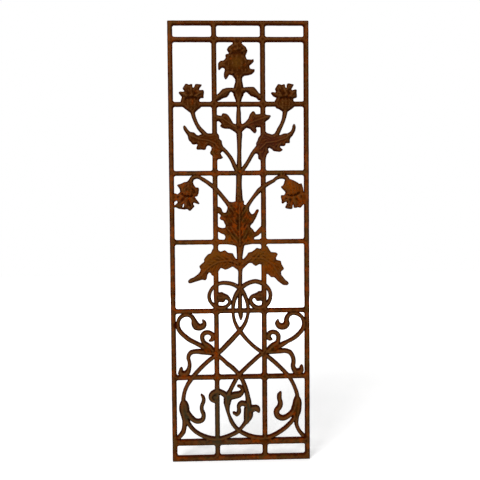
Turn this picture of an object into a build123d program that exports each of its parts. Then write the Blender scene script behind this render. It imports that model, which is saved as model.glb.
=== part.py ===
from build123d import *
import os
from math import cos, hypot, pi, sin

# Cast iron garden panel with thistles, leaves and scrolls on a lattice of bars.
# X runs across the panel, Z up it, and the front faces -Y. The origin is the
# middle of the bottom edge, half way through the thickness of the frame.

# The panel
panel_width = 289.0
panel_height = 914.0
frame_depth = 10.0

# The lattice
frame_side = 9.6
frame_top = 8.5
frame_foot = 11.5
bar_width = 10.0
rail_width = 9.4
foot_rail_width = 12.5
bar_spacing = 100.0
rail_heights = (40.0, 177.5, 317.0, 461.0, 603.5, 744.8, 876.5)
corner_cut = 2.6
bar_edge = 2.6
bar_ease = 2.1

# The ornament, in relief over the bars
stem_width = 8.5
stem_relief = 6.4
stem_crest = 0.48
leaf_shoulder = 2.6
leaf_relief = 8.6
leaf_crest = 0.28
rib_width = 4.2
rib_rise = 0.9
head_relief = 8.0
head_crest = 0.45
bulb_relief = 11.4
petal_relief = 9.4
petal_width = 8.0
bulb_steps = ((0.0, 1.0), (0.62, 0.82), (1.0, 0.4))
bulb_sides = 14

# The pattern is drawn for this size of panel, and stretched with it
pattern_width = 289.0
pattern_height = 914.0
across = panel_width / pattern_width
upward = panel_height / pattern_height

back = -frame_depth / 2
front = frame_depth / 2


def place(point):
    """A point of the drawn pattern, on this panel."""
    return (point[0] * across, point[1] * upward)


def sides(route, share):
    """The two edges of a stem along its route, and the point of each thin end."""
    points = [place(stop) for stop in route]
    left, right, tips = [], [], [[], []]
    last = len(points) - 1
    for i, (x, z) in enumerate(points):
        before, after = points[max(i - 1, 0)], points[min(i + 1, last)]
        dx, dz = after[0] - before[0], after[1] - before[1]
        reach = route[i][2] * stem_width / 2 * share / hypot(dx, dz)
        left.append((x - dz * reach, z + dx * reach))
        right.append((x + dz * reach, z - dx * reach))
        if i in (0, last) and route[i][2] < 1:
            way = -1 if i == 0 else 1
            tips[i > 0].append((x + way * dx * reach, z + way * dz * reach))
    return left, right, tips


def run_through(points):
    """Arcs through the points, three at a time, and a straight run to one left over."""
    for i in range(0, len(points) - 2, 2):
        ThreePointArc(*points[i:i + 3])
    if len(points) % 2 == 0:
        Line(points[-2], points[-1])


def stem(route):
    """A stem or scroll: flat behind, its sides drawn in to a narrower crest in front."""
    with BuildPart() as piece:
        for depth, share in ((back, 1.0), (stem_relief, stem_crest)):
            left, right, tips = sides(route, share)
            with BuildSketch(Plane.XZ.offset(depth)):
                with BuildLine():
                    run_through(left)
                    Polyline(left[-1], *tips[1], right[-1])
                    run_through(right)
                    Polyline(right[0], *tips[0], left[0])
                make_face()
        loft(ruled=True)
    return piece.part


def foot_on(rib, point):
    """The nearest point of a rib, which is a line of straight stretches."""
    best = None
    for (x0, z0), (x1, z1) in zip(rib[:-1], rib[1:]):
        dx, dz = x1 - x0, z1 - z0
        run = ((point[0] - x0) * dx + (point[1] - z0) * dz) / (dx * dx + dz * dz)
        run = min(max(run, 0.0), 1.0)
        spot = (x0 + dx * run, z0 + dz * run)
        gap = hypot(point[0] - spot[0], point[1] - spot[1])
        if best is None or gap < best[0]:
            best = (gap, spot)
    return best[1]


def leaf(outline, rib, relief=leaf_relief, crest=leaf_crest):
    """A toothed leaf: straight sides, then every tooth runs up to the rib."""
    edge = [place(point) for point in outline]
    spine = [place(point) for point in rib]
    feet = [foot_on(spine, point) for point in edge]
    with BuildPart() as piece:
        for depth, share in ((back, 1.0), (leaf_shoulder, 1.0), (relief, crest)):
            ring = [
                (f[0] + (p[0] - f[0]) * share, f[1] + (p[1] - f[1]) * share)
                for p, f in zip(edge, feet)
            ]
            with BuildSketch(Plane.XZ.offset(depth)):
                with BuildLine():
                    Polyline(*ring, close=True)
                make_face()
        loft(ruled=True)
    return piece.part


def midrib(rib):
    """The raised rib of a leaf, thinner towards the tip."""
    thin = 0.5 * rib_width / stem_width / (len(rib) - 1)
    route = [(x, z, rib_width / stem_width - thin * i) for i, (x, z) in enumerate(rib)]
    with BuildPart() as piece:
        for depth, share in ((leaf_shoulder, 1.0), (leaf_relief + rib_rise, 0.3)):
            left, right, _ = sides(route, share)
            with BuildSketch(Plane.XZ.offset(depth)):
                with BuildLine():
                    Polyline(*left, *reversed(right), close=True)
                make_face()
        loft(ruled=True)
    return piece.part


def bulb(centre, half_width, half_height, lean):
    """The round base of a thistle head, a dome that narrows in steps."""
    x, z = place(centre)
    turns = [2 * pi * i / bulb_sides for i in range(bulb_sides)]
    tilt = lean * pi / 180
    with BuildPart() as piece:
        for rise, share in bulb_steps:
            ring = []
            for turn in turns:
                dx, dz = half_width * share * cos(turn), half_height * share * sin(turn)
                ring.append((x + dx * cos(tilt) - dz * sin(tilt), z + dx * sin(tilt) + dz * cos(tilt)))
            with BuildSketch(Plane.XZ.offset(leaf_shoulder + (bulb_relief - leaf_shoulder) * rise)):
                with BuildLine():
                    Polyline(*ring, close=True)
                make_face()
        loft(ruled=True)
    return piece.part


def petals(root, tips):
    """A fan of pointed petals from one root, each rising to its own ridge."""
    fan = []
    for x, z in tips:
        dx, dz = x - root[0], z - root[1]
        wide = petal_width / 2 / hypot(dx, dz)
        left = (root[0] + 0.65 * dx - dz * wide, root[1] + 0.65 * dz + dx * wide)
        right = (root[0] + 0.65 * dx + dz * wide, root[1] + 0.65 * dz - dx * wide)
        outline = (root, left, (x - dz * wide * 0.3, z + dx * wide * 0.3),
                   (x + dz * wide * 0.3, z - dx * wide * 0.3), right)
        ridge = ((root[0] + 0.3 * dx, root[1] + 0.3 * dz), (root[0] + 0.9 * dx, root[1] + 0.9 * dz))
        fan.append(leaf(outline, ridge, relief=petal_relief, crest=0.2))
    return fan


# Stems and scrolls: each stop is across, up, and width as a share of stem_width
upright_stem = (
    (1, 806, 2.4), (0.5, 799, 1.8), (1, 790, 1.7), (0, 771, 2.5), (0, 764, 2.45), (0, 757, 1.7),
    (0, 728, 1.1), (0, 706, 1.25), (1.2, 682, 1.4), (1, 668, 1.15), (-0.2, 605, 1.5),
    (-0.6, 565, 1.5), (0, 540, 2.0),
)
lower_stem = (
    (0.5, 470, 2.6), (0.8, 448, 1.8), (-0.4, 429, 1.35), (0.4, 412, 1.4), (0.7, 397, 0.95),
    (-0.4, 340, 1.05), (-0.4, 318, 1.1), (1, 305, 1.0), (1, 298.5, 0.45),
)
left_thistle_stem = (
    (-95.5, 734, 1.3), (-92.3, 719, 0.95), (-81.5, 696, 1.0), (-58, 673, 1.1), (-33, 653.5, 0.95),
    (-25, 645.5, 0.9), (-10, 620, 1.05), (-2, 603, 1.1),
)
right_thistle_stem = (
    (96.5, 734, 1.3), (94, 717.5, 0.95), (83.5, 693, 1.05), (78.5, 683, 1.1), (63, 671, 1.1),
    (33.5, 650, 1.05), (26, 639.5, 0.95), (10, 614, 1.0), (1, 603, 1.1),
)
left_nodding_stem = (
    (-14, 527, 1.4), (-24.3, 541.3, 1.1), (-49, 571.3, 1.15), (-61, 581.3, 1.0), (-79, 593.2, 0.9),
    (-90, 596.2, 1.0), (-97.5, 593, 1.1), (-101, 585, 1.15),
)
right_nodding_stem = (
    (12, 527, 1.2), (19.5, 539.3, 0.92), (41.5, 567.5, 1.2), (53, 576.8, 1.05), (72, 587.5, 0.85),
    (90.5, 595.4, 1.05), (98.5, 593, 1.1), (101, 586, 1.3),
)
left_heart = (
    (-47, 343, 1.9), (-39, 345.5, 2.1), (-31, 346, 1.35), (-23.5, 341, 0.95), (-21.5, 334, 0.9),
    (-28, 326.5, 0.9), (-40, 323.3, 1.1), (-51, 326, 1.0), (-60, 333.5, 0.85), (-64.8, 345, 0.9),
    (-62.5, 357, 0.8), (-55, 367.5, 0.85), (-31, 375.4, 0.97), (-18, 373.4, 1.0), (5, 358, 1.05),
    (15.5, 330, 0.95), (16.6, 315, 0.85), (13.5, 299, 0.82), (0, 276, 1.1), (-25, 249, 1.18),
    (-49, 225.5, 1.0), (-80, 200.8, 1.0), (-106, 171, 1.05), (-118.8, 144.5, 0.97),
    (-121, 130, 1.05), (-119, 112, 1.1), (-116, 95, 1.1), (-109.5, 78.5, 1.0), (-100.3, 66, 0.92),
    (-77, 51.3, 1.0), (-47, 46, 1.0), (-30, 50.3, 0.95), (-9, 59.5, 1.05), (4.5, 73.5, 0.85),
    (10, 81.5, 1.1),
)
right_heart = (
    (48, 345, 1.8), (40, 346.3, 2.1), (31, 347.7, 1.1), (24.3, 345, 0.95), (21.5, 337.5, 1.0),
    (26, 328.5, 1.1), (38, 322.3, 1.1), (50, 325.5, 1.2), (58.5, 333.5, 1.2), (63.5, 346, 0.9),
    (61.5, 358, 0.95), (53, 369, 1.05), (32, 378.2, 1.05), (19, 375.2, 1.05), (-1, 361, 1.1),
    (-14.3, 332, 1.05), (-14.8, 315, 0.75), (-8, 285, 0.9), (0, 273, 1.0), (20, 248.5, 0.85),
    (49, 226, 1.0), (81, 198, 1.0), (101, 177, 0.95), (112, 157, 0.92), (118.5, 138, 0.95),
    (119, 124, 1.2), (118, 105, 1.2), (112, 88, 1.0), (102.7, 75.7, 0.98), (87, 62, 1.02),
    (61, 48.5, 1.0), (29, 48, 1.0), (5.5, 56.3, 1.0), (-11.2, 68.8, 0.95), (-21.5, 85, 0.98),
    (-28.3, 108, 1.02), (-29.3, 122, 1.8), (-27, 135, 2.0),
)
right_ring = (
    (-29, 126, 1.9), (-27, 135, 1.9), (-23.3, 147, 1.0), (-17.3, 158.7, 0.98), (-4.5, 181, 1.05),
    (5, 190.3, 1.0), (34, 217, 0.95), (49, 227.5, 1.1), (62, 233.5, 1.5),
)
left_ring = (
    (10, 78, 1.0), (13.5, 92, 1.9), (14, 108, 1.9), (15.6, 122, 1.5), (14.3, 134, 1.2),
    (11.5, 147, 1.15), (3.4, 170, 1.05), (-4.5, 182.5, 1.05), (-27.5, 204.7, 1.0),
    (-51, 225.5, 1.1), (-63, 234, 1.5),
)

# Scrolls in the corners between the fourth and the second rail
left_spiral = (
    (-58, 231, 1.6), (-65, 238, 1.9), (-72.3, 246.5, 1.35), (-78.3, 253.5, 1.05), (-80.3, 260.5, 1.1),
    (-78.7, 267.3, 1.1), (-72, 271.8, 1.1), (-65, 271.3, 1.05), (-59, 267.5, 1.1), (-57.5, 260.5, 1.1),
    (-60.3, 255.8, 0.95), (-64.6, 254.6, 0.6),
)
left_corner_scroll = (
    (-64, 234, 1.7), (-76, 240.5, 1.3), (-95, 250.8, 1.05), (-119, 267, 1.08), (-127, 276, 1.05),
    (-130.5, 287, 1.0), (-129, 297.5, 0.9), (-122.5, 306.5, 1.0), (-112, 310.2, 1.1),
    (-103, 307, 1.05), (-97.5, 299, 1.15), (-95.2, 291.5, 1.75), (-91.5, 285, 1.9),
    (-84.5, 283.3, 1.65), (-77.8, 286, 1.5), (-75.5, 291.5, 1.15), (-78, 297.5, 0.65),
)
left_lower_scroll = (
    (-58, 229.5, 1.5), (-70, 231.5, 1.6), (-84, 231.8, 1.3), (-94, 232.2, 1.13),
    (-102.5, 230.8, 1.1), (-108, 225, 1.0), (-109.2, 216, 0.93), (-108.3, 196.5, 1.1),
    (-111.5, 188.5, 1.4), (-119, 184.5, 1.6), (-126.3, 189, 1.4), (-124.5, 197.5, 0.75),
)
right_spiral = (
    (59, 231, 1.5), (67, 238, 2.0), (76.5, 246.5, 1.4), (79, 253, 1.05), (79.8, 260.2, 1.12),
    (77, 267.3, 1.1), (70.5, 270.7, 1.08), (63, 269.7, 1.1), (58.8, 264.3, 1.2), (60.8, 257, 1.1),
    (65.3, 255.7, 0.6),
)
right_corner_scroll = (
    (64, 234.5, 1.7), (79, 240.5, 1.4), (99, 250.8, 0.88), (121, 264.7, 1.0), (128.5, 273, 1.0),
    (133.2, 284, 0.95), (132.5, 295, 0.9), (127.3, 303.7, 0.95), (117.5, 309.3, 1.0),
    (107, 309.8, 1.05), (99.5, 304, 1.1), (97, 297.5, 1.2), (97.8, 291, 1.5), (95, 285.3, 1.65),
    (87.8, 282.3, 1.6), (80.5, 285, 1.5), (77.3, 290.8, 1.15), (79, 296.5, 0.5),
)
right_lower_scroll = (
    (58, 230, 1.4), (72, 231.3, 1.5), (87, 230.8, 1.25), (96, 230.6, 1.13), (104, 227.3, 1.15),
    (108.8, 220.3, 1.1), (110.2, 201.5, 1.1), (111.3, 193.5, 1.2), (115, 187.3, 1.5),
    (122, 186, 1.7), (128.2, 191.3, 1.2), (128.3, 198.8, 0.7),
)

# Tendrils and curled leaves inside the two rings
left_calla = (
    (-120.5, 128, 1.2), (-119.7, 118, 2.35), (-118.8, 107, 2.45), (-117, 97, 2.2),
    (-116.5, 87, 1.75), (-118.7, 77, 1.25), (-121.5, 62.5, 1.2), (-127, 55.3, 1.1),
    (-134, 48, 1.1),
)
left_tendril = (
    (-113, 103, 1.4), (-107.5, 94.5, 1.4), (-100, 87.7, 1.2), (-90.7, 84.2, 1.2), (-81.8, 86.8, 1.1),
    (-78.7, 94.5, 1.05), (-80.5, 103, 1.0), (-82.8, 112.5, 0.97), (-80.7, 121.5, 0.95),
    (-78.3, 130, 0.9), (-79.8, 136.5, 0.75), (-83.3, 141, 0.4),
)
right_calla = (
    (118.7, 133, 1.1), (119, 124.5, 2.0), (118, 114, 2.25), (116, 103, 2.5), (115, 93, 2.0),
    (116, 83, 1.2), (116.7, 74.5, 0.98), (123, 59.3, 0.95), (132, 49, 1.0),
)
right_tendril = (
    (111, 104, 1.4), (104, 95.5, 1.3), (96.5, 90.6, 1.25), (87.5, 88, 1.35), (79.2, 90.8, 1.4),
    (74.8, 98.2, 1.42), (77.3, 107.5, 1.35), (82.5, 115.5, 1.3), (82.8, 123, 1.2), (80.8, 130.5, 1.15),
    (81.3, 138, 1.1), (84, 143.3, 0.55),
)
knot_curl = (
    (-27, 130, 1.6), (-34, 140, 1.35), (-42.5, 145.3, 1.3), (-53, 146, 1.3), (-61.5, 140.5, 1.25),
    (-62, 131, 1.1), (-55, 126.8, 0.95), (-51, 132.5, 0.8),
)
knot_middle = ((-58, 140), (-50, 141), (-47.5, 136), (-50, 130), (-56, 129), (-60, 134))
knot_rib = ((-57, 135), (-50, 135))
knot_leaf = (
    (-28, 134, 1.5), (-19, 136.5, 1.75), (-9, 138.7, 1.75), (-0.5, 142, 1.4), (3.5, 148.5, 0.9),
    (0.5, 155.3, 0.85), (-5.5, 157.7, 0.75),
)
middle_tendril = (
    (16, 108, 1.5), (10.5, 118, 1.3), (2.5, 121, 1.3), (-3.6, 117, 1.15), (-4.3, 109, 1.0),
    (-5.2, 101.5, 1.05), (-10, 97, 1.0), (-15.8, 101.3, 0.7),
)
middle_curl = (
    (15, 100, 1.5), (20, 107, 1.9), (28, 109.7, 1.55), (34.5, 108.3, 1.4), (37, 103, 0.9),
)
swelling = ((13, 84, 1.2), (17, 92, 1.6), (18.5, 101, 1.7))

stems = (
    upright_stem, lower_stem, left_thistle_stem, right_thistle_stem, left_nodding_stem,
    right_nodding_stem, left_heart, right_heart, left_ring, right_ring, left_spiral,
    left_corner_scroll, left_lower_scroll, right_spiral, right_corner_scroll,
    right_lower_scroll, left_calla, left_tendril, right_calla, right_tendril, knot_curl,
    knot_leaf, middle_tendril, middle_curl, swelling,
)

# Leaves: the outline, then the line of the rib
left_stem_leaf = (
    (-112.3, 702), (-114.6, 699), (-113.8, 693.7), (-105.7, 681), (-104.2, 674), (-102, 670),
    (-99.4, 668.5), (-97, 664), (-93.5, 662.6), (-87.7, 663.8), (-84.8, 662.5), (-88, 654.5),
    (-86, 652.2), (-77, 652.7), (-72.4, 651.6), (-68.8, 652.3), (-67, 659), (-63.4, 661),
    (-58.9, 659.7), (-56.2, 656), (-57, 651), (-60, 646), (-59, 643.5), (-53.7, 638), (-50, 632),
    (-44.9, 630), (-43, 632.5), (-37, 632.9), (-33, 635.5), (-36.5, 639.5), (-38.4, 644.5),
    (-35, 648), (-31, 650), (-33, 659), (-35, 664), (-35.3, 670), (-40.5, 674), (-41, 681),
    (-44.5, 685.6), (-51, 687), (-56.2, 685), (-63.8, 685.3), (-70, 685), (-79, 683),
    (-83.2, 680.8), (-86.8, 681.8), (-91, 686.5), (-93, 687.6), (-98.9, 688), (-101.6, 689.6),
    (-104.8, 693.2), (-109, 699.5),
)
left_stem_rib = ((-110.5, 697), (-99, 681), (-84, 673.5), (-64, 670.5), (-50, 665), (-42, 655))
right_stem_leaf = (
    (113.6, 704.5), (116.3, 702.7), (117.9, 697), (116.3, 689), (111, 679.7), (106.4, 674.8),
    (105.1, 670.3), (105.3, 665), (98.3, 664.9), (96.3, 663.5), (95.9, 660), (93.8, 658.9),
    (86.6, 658.9), (84.4, 657.2), (86.2, 654.5), (91.3, 651), (88, 648.2), (83.9, 646.9),
    (72.2, 648.7), (68.6, 652.3), (63.2, 655.4), (60, 653), (62.4, 645.3), (59.6, 643.7),
    (56.9, 639.7), (55, 632), (45, 629.3), (43.4, 631.4), (40, 632.7), (39.6, 641.5), (36.5, 643.9),
    (31, 643), (28.6, 648), (31, 654), (36.2, 660.4), (35.5, 664.4), (39, 671), (40.3, 676),
    (43.6, 680.2), (47, 686), (54, 689.5), (58.3, 685.4), (68.6, 682.4), (74.5, 684.5), (79, 684),
    (85, 680.8), (92.9, 684.4), (101, 684.4), (107.3, 688.7), (110.5, 693.7), (111.8, 701),
)
right_stem_rib = ((114.5, 700), (108.5, 685), (96, 674.5), (76, 667.5), (56, 665), (44, 653))
left_small_leaf = (
    (-2, 706), (-7, 704), (-11.5, 705.5), (-16, 713.5), (-21, 721.5), (-25, 725), (-33, 726.5),
    (-34.6, 724), (-35, 720.8), (-40, 721.5), (-47, 723), (-47, 710.5), (-41, 710.7),
    (-35.5, 705.5), (-36, 703.5), (-38.8, 701), (-35, 697.3), (-29.5, 695.2), (-19, 695),
    (-11, 690.5), (-2, 683),
)
left_small_rib = ((-4, 696), (-20, 705.5), (-32, 714), (-44, 717))
right_small_leaf = (
    (2, 706), (8, 703.9), (13.5, 708), (20, 715), (23, 724), (28, 730), (31.5, 730.4), (33.8, 727),
    (34.8, 724), (42, 724.3), (50, 727), (57, 722.7), (65, 722), (66.5, 720), (63, 714.5),
    (55, 709), (51, 698), (44, 697.9), (36, 697.9), (35.5, 695), (37, 690), (34.5, 685.5),
    (31, 686), (23, 694.7), (16, 696.8), (10.5, 692.5), (3, 684),
)
right_small_rib = ((4, 696), (20, 704), (38, 711.5), (60, 718.5))
left_bract = (
    (-2, 778), (-25, 778), (-33, 775.5), (-41, 766.5), (-48, 762), (-48, 752), (-40.7, 752.3),
    (-33, 757.2), (-24, 759.7), (-19.5, 765), (-18, 769), (-15, 771.5), (-11.8, 768.5), (-4, 765),
)
left_bract_rib = ((-6, 773), (-24, 771), (-34, 765), (-45, 757))
right_bract = (
    (2, 778), (19, 779.7), (32, 779.7), (37.5, 773.5), (42, 767), (48, 764), (48, 753), (41.3, 753),
    (37, 758), (30, 761), (26, 761.3), (20.5, 767), (16, 770.7), (12.3, 768), (4, 765),
)
right_bract_rib = ((6, 773), (24, 773), (34, 768), (45, 758))
middle_leaf = (
    (-9, 545), (-14.5, 543.5), (-21, 544.7), (-24.5, 538), (-24.6, 532), (-27.5, 522.5),
    (-32, 521.3), (-35.5, 524.3), (-36.7, 529), (-40, 533.2), (-47, 535), (-47, 522), (-43, 520.7),
    (-38.2, 516), (-41.5, 510), (-38.5, 507), (-33.5, 505.3), (-31.5, 500), (-28.8, 495.5),
    (-30, 490.5), (-35, 489.7), (-41, 490.9), (-47, 494), (-47, 483), (-42.5, 481.6),
    (-38.5, 478.8), (-32, 476.5), (-29.4, 471.5), (-32, 464), (-30, 457), (-9.5, 453.3), (-4, 448),
    (6, 448), (10.5, 454), (30, 457), (30, 470), (38, 473.5), (43, 478), (48, 481), (48, 496),
    (41, 489.5), (33, 481), (30, 481.5), (28, 486.2), (25, 489), (21.5, 492.5), (23.5, 496.2),
    (28, 500), (34.5, 512), (40.5, 525.5), (39, 528.8), (35, 527.5), (31, 520.5), (27, 517.5),
    (23.7, 519.5), (20, 525.5), (20.5, 534), (13.5, 536.8), (9, 538.5), (9.5, 546.5),
)
middle_rib = ((0.5, 455), (-0.5, 490), (0, 537))
left_drooping_leaf = (
    (-1, 424), (-7.5, 424.9), (-12, 431), (-14.5, 437), (-24, 438), (-27.5, 441), (-31.5, 443.9),
    (-35.5, 441.8), (-40.5, 440.5), (-46, 445), (-56, 447), (-58.5, 441), (-61, 436.8),
    (-65.5, 436), (-70, 431.5), (-74.8, 424.5), (-73.8, 420.5), (-80, 415.2), (-84.7, 411),
    (-81.5, 404.3), (-83.5, 398.5), (-88, 393.5), (-97, 387.3), (-104, 385), (-108.3, 380.5),
    (-106.5, 376), (-101, 376.3), (-90, 379.8), (-79, 383.1), (-72, 381.6), (-69.3, 385),
    (-67.5, 394), (-63.5, 398.9), (-60.3, 396.3), (-59, 392.3), (-54, 390), (-46, 393),
    (-45, 399.5), (-40.5, 407.2), (-36.5, 406.5), (-31, 403.3), (-25, 405), (-15, 410.1),
    (-7, 404), (-1, 399),
)
left_drooping_rib = ((-4, 416), (-24, 423), (-46, 420), (-66, 408), (-80, 393), (-104, 380.5))
right_drooping_leaf = (
    (1, 424), (7.5, 424.7), (14.5, 432), (17.5, 438), (25, 439.7), (30.5, 443.3), (35.5, 448),
    (43.5, 445.8), (52, 453), (57.5, 451.5), (61, 445), (65, 438.9), (75.5, 437.8), (79.2, 435),
    (75, 427), (76.5, 422.5), (85.5, 420), (86.1, 414.5), (92, 404), (90, 401.7), (85.5, 399),
    (86, 391.5), (94.5, 380.7), (100.5, 376), (102, 373), (98.5, 369.3), (90, 370), (80, 377.5),
    (71.5, 386.5), (64.5, 386.8), (59, 392.8), (54, 394), (46.2, 406), (45, 413), (40.5, 414.7),
    (36, 412), (33, 410.2), (29.5, 412.3), (24.5, 416.8), (18.5, 416.8), (11.5, 410.3),
    (7, 405.7), (1, 400),
)
right_drooping_rib = ((4, 415), (24, 427), (48, 427), (68, 414), (79, 395), (97, 373.5))

left_heart_leaf = (
    (-48, 356), (-42.5, 355.3), (-38.5, 356.5), (-35, 355), (-33.3, 352), (-27, 350.7), (-23, 347.5),
    (-27, 343.5), (-31, 340), (-33, 336), (-36.5, 334.6), (-43, 336.3), (-48, 336),
)
left_heart_rib = ((-45, 345), (-31, 346))
right_heart_leaf = (
    (48, 357.5), (38.5, 357.3), (35.8, 354.5), (35, 351.7), (26, 351), (22, 347.5), (27, 345),
    (31.5, 342), (33, 338), (35.8, 336.4), (44, 337.2), (48, 336),
)
right_heart_rib = ((45, 346), (31, 347))

leaves = (
    (left_stem_leaf, left_stem_rib), (right_stem_leaf, right_stem_rib),
    (left_small_leaf, left_small_rib), (right_small_leaf, right_small_rib),
    (left_bract, left_bract_rib), (right_bract, right_bract_rib),
    (middle_leaf, middle_rib), (left_drooping_leaf, left_drooping_rib),
    (right_drooping_leaf, right_drooping_rib), (left_heart_leaf, left_heart_rib),
    (right_heart_leaf, right_heart_rib),
)

# Thistle heads: the outline of bracts and petals, then the middle line
top_head = (
    (-10.8, 873), (-11.1, 867.4), (-20.1, 861.5), (-23.2, 856.2), (-19.2, 850), (-19.8, 847.3),
    (-25.3, 846.4), (-26.5, 845), (-25.5, 839), (-30, 833.2), (-36.8, 833.1), (-41.5, 828),
    (-41.5, 816.8), (-39.5, 814.3), (-35, 819.2), (-32.6, 820), (-29.1, 818.9), (-27.5, 816.1),
    (-29.7, 807.1), (-29.6, 801.6), (-27, 796), (-24, 797), (-18.7, 805.6), (-12.5, 804.3),
    (-8, 798), (8, 800), (12.5, 803.6), (20.1, 804.1), (27.4, 806.4), (33.5, 811.5), (33.5, 816),
    (28.1, 815.9), (23.5, 817.5), (22.5, 823.5), (27, 827.2), (32, 832), (31, 836.8), (27.7, 834.8),
    (17.3, 835.2), (14.6, 843.2), (19.3, 853.6), (15.3, 861.1), (7.2, 868), (8.5, 873),
)
top_axis = ((-1, 812), (-2.5, 860))
left_head = (
    (-120, 745), (-118, 754), (-116, 760), (-119.5, 764), (-123.3, 768.7), (-120, 770.8),
    (-113, 769.7), (-110.7, 772), (-115, 777), (-112, 781.5), (-109, 786.3), (-105, 786.3),
    (-102, 784), (-97.5, 786.2), (-94.5, 785.4), (-95.2, 780), (-92.5, 777), (-90, 781),
    (-89, 785.7), (-84.5, 786), (-75.3, 784.6), (-80.5, 777.5), (-81, 773), (-72.2, 773.9),
    (-70.7, 770), (-72, 763), (-71.8, 758), (-78, 758), (-81.4, 754), (-79, 747), (-78, 738.5),
    (-83, 735), (-90, 728.5), (-100.5, 728.5), (-105, 732), (-115, 740),
)
left_axis = ((-96.5, 736), (-96, 772))
right_head = (
    (76, 742), (74.5, 751), (78.9, 758), (72, 761), (66.7, 767.5), (69, 769.3), (76, 768),
    (77.4, 771), (75.6, 776), (81.5, 785.5), (85, 785), (89, 783.5), (94, 785.8), (96, 783.5),
    (95, 779), (98, 775.8), (100, 777), (100.2, 785.5), (103, 787.2), (114.3, 784.5),
    (108.3, 773.8), (111, 772), (118, 775), (120.4, 773.5), (119.9, 768), (120.5, 758.5),
    (114.5, 756.7), (112.6, 753), (118, 744), (113.5, 737.5), (101.5, 729.5), (91.8, 729.5),
    (83.5, 735), (77.5, 737),
)
right_axis = ((97, 737), (97.5, 772))
left_nodding_head = (
    (-96, 587), (-94.5, 581), (-90, 574.3), (-84.5, 574.3), (-83.2, 571.5), (-84.3, 562.5),
    (-87, 556), (-92.5, 555.4), (-88, 548.5), (-82.3, 541.3), (-84.2, 539.5), (-94.5, 543.3),
    (-96.5, 540.8), (-92.8, 535.5), (-98, 530.3), (-101.5, 526.3), (-104.8, 526.5), (-107.5, 530),
    (-114, 529), (-126, 530.6), (-131, 533.7), (-140, 534), (-140, 538), (-133.5, 537.8),
    (-127.3, 543.7), (-129.5, 548), (-134, 545), (-140, 545), (-140, 562), (-132, 562.5),
    (-127.8, 560.2), (-122.3, 565), (-123, 571.5), (-128.6, 579), (-127, 580.8), (-121, 582),
    (-113, 585.8), (-108.5, 585.8), (-104, 590),
)
left_nodding_axis = ((-104, 577), (-109, 545))
right_nodding_head = (
    (94.6, 587), (93, 580.5), (90.5, 576.6), (86.8, 575.5), (87.5, 572.6), (95, 564.8), (96.6, 562),
    (93, 557), (87, 557.3), (86.5, 553), (88.5, 546), (88, 541), (90.5, 539.5), (93.5, 542.3),
    (98, 543.8), (99.3, 540), (95, 531.5), (99, 529), (108, 528), (110.2, 529.5), (110.3, 538),
    (112.8, 538.3), (113.2, 531), (117.5, 530.4), (122, 532.2), (127, 530.7), (133, 537.5),
    (140, 538), (140, 561), (133.5, 562.8), (132.5, 571), (129.3, 581.8), (125.5, 579.8),
    (119, 584.5), (112, 587.8), (104, 591),
)
right_nodding_axis = ((106, 578), (112, 546))

heads = (
    (top_head, top_axis), (left_head, left_axis), (right_head, right_axis),
    (left_nodding_head, left_nodding_axis), (right_nodding_head, right_nodding_axis),
)
bulbs = (
    ((-2.5, 827), 23.0, 23.0, 0), ((-97.3, 744.5), 15.5, 14.0, 0), ((97, 744.5), 16.5, 14.0, 0),
    ((-106.5, 569), 14.0, 15.0, 12), ((111, 570), 15.5, 15.5, -12),
)
petal_fans = (
    ((-2, 846), ((-20, 857), (-11.5, 863), (-1.5, 868), (8, 863), (15.5, 856))),
    ((-97, 757), ((-120, 769), (-107, 783), (-96.5, 783), (-87, 782.5), (-74.5, 769))),
    ((97, 757), ((70, 767.5), (82.5, 782.5), (93, 782.5), (103, 783), (117.5, 771.5))),
    ((-107, 555), ((-85.5, 542.5), (-96, 534), (-103, 529.5), (-113, 532), (-125, 534))),
    ((109, 555), ((90.5, 543), (99, 532), (106.5, 531), (117, 533), (127, 534.5))),
)


def opening(left, right, floor, ceiling, wider):
    """The corners of an opening with its corners cut, made wider on every side."""
    left, right, floor, ceiling = left - wider, right + wider, floor - wider, ceiling + wider
    cut = corner_cut
    return (
        (left + cut, floor), (right - cut, floor), (right, floor + cut), (right, ceiling - cut),
        (right - cut, ceiling), (left + cut, ceiling), (left, ceiling - cut), (left, floor + cut),
    )


def lattice():
    """The outer frame with its upright bars and rails, their front edges eased."""
    half_width = panel_width / 2
    bars = [-bar_spacing / 2 * across, bar_spacing / 2 * across]
    rails = [height * upward for height in rail_heights]
    lefts = [frame_side - half_width] + [x + bar_width / 2 for x in bars]
    rights = [x - bar_width / 2 for x in bars] + [half_width - frame_side]
    widths = [foot_rail_width] + [rail_width] * (len(rails) - 1)
    floors = [frame_foot] + [z + w / 2 for z, w in zip(rails, widths)]
    ceilings = [z - w / 2 for z, w in zip(rails, widths)] + [panel_height - frame_top]
    with BuildPart() as grid:
        with BuildSketch(Plane.XZ.offset(back)):
            with Locations((0, panel_height / 2)):
                Rectangle(panel_width, panel_height)
        extrude(amount=frame_depth)
        chamfer(grid.faces().sort_by(Axis.Y)[0].edges(), length=bar_edge, length2=bar_ease)
        for left, right in zip(lefts, rights):
            for floor, ceiling in zip(floors, ceilings):
                for depth, wider in ((back, 0), (front - bar_ease, 0), (front, bar_edge)):
                    with BuildSketch(Plane.XZ.offset(depth)):
                        with BuildLine():
                            Polyline(*opening(left, right, floor, ceiling, wider), close=True)
                        make_face()
                loft(ruled=True, mode=Mode.SUBTRACT)
    return grid.part


ornament = [stem(route) for route in stems]
ornament += [leaf(outline, rib) for outline, rib in leaves]
ornament += [midrib(rib) for outline, rib in leaves]
ornament += [leaf(outline, axis, relief=head_relief, crest=head_crest) for outline, axis in heads]
ornament.append(leaf(knot_middle, knot_rib, relief=stem_relief))
ornament += [bulb(*sizes) for sizes in bulbs]
for fan in petal_fans:
    ornament += petals(*fan)

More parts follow.
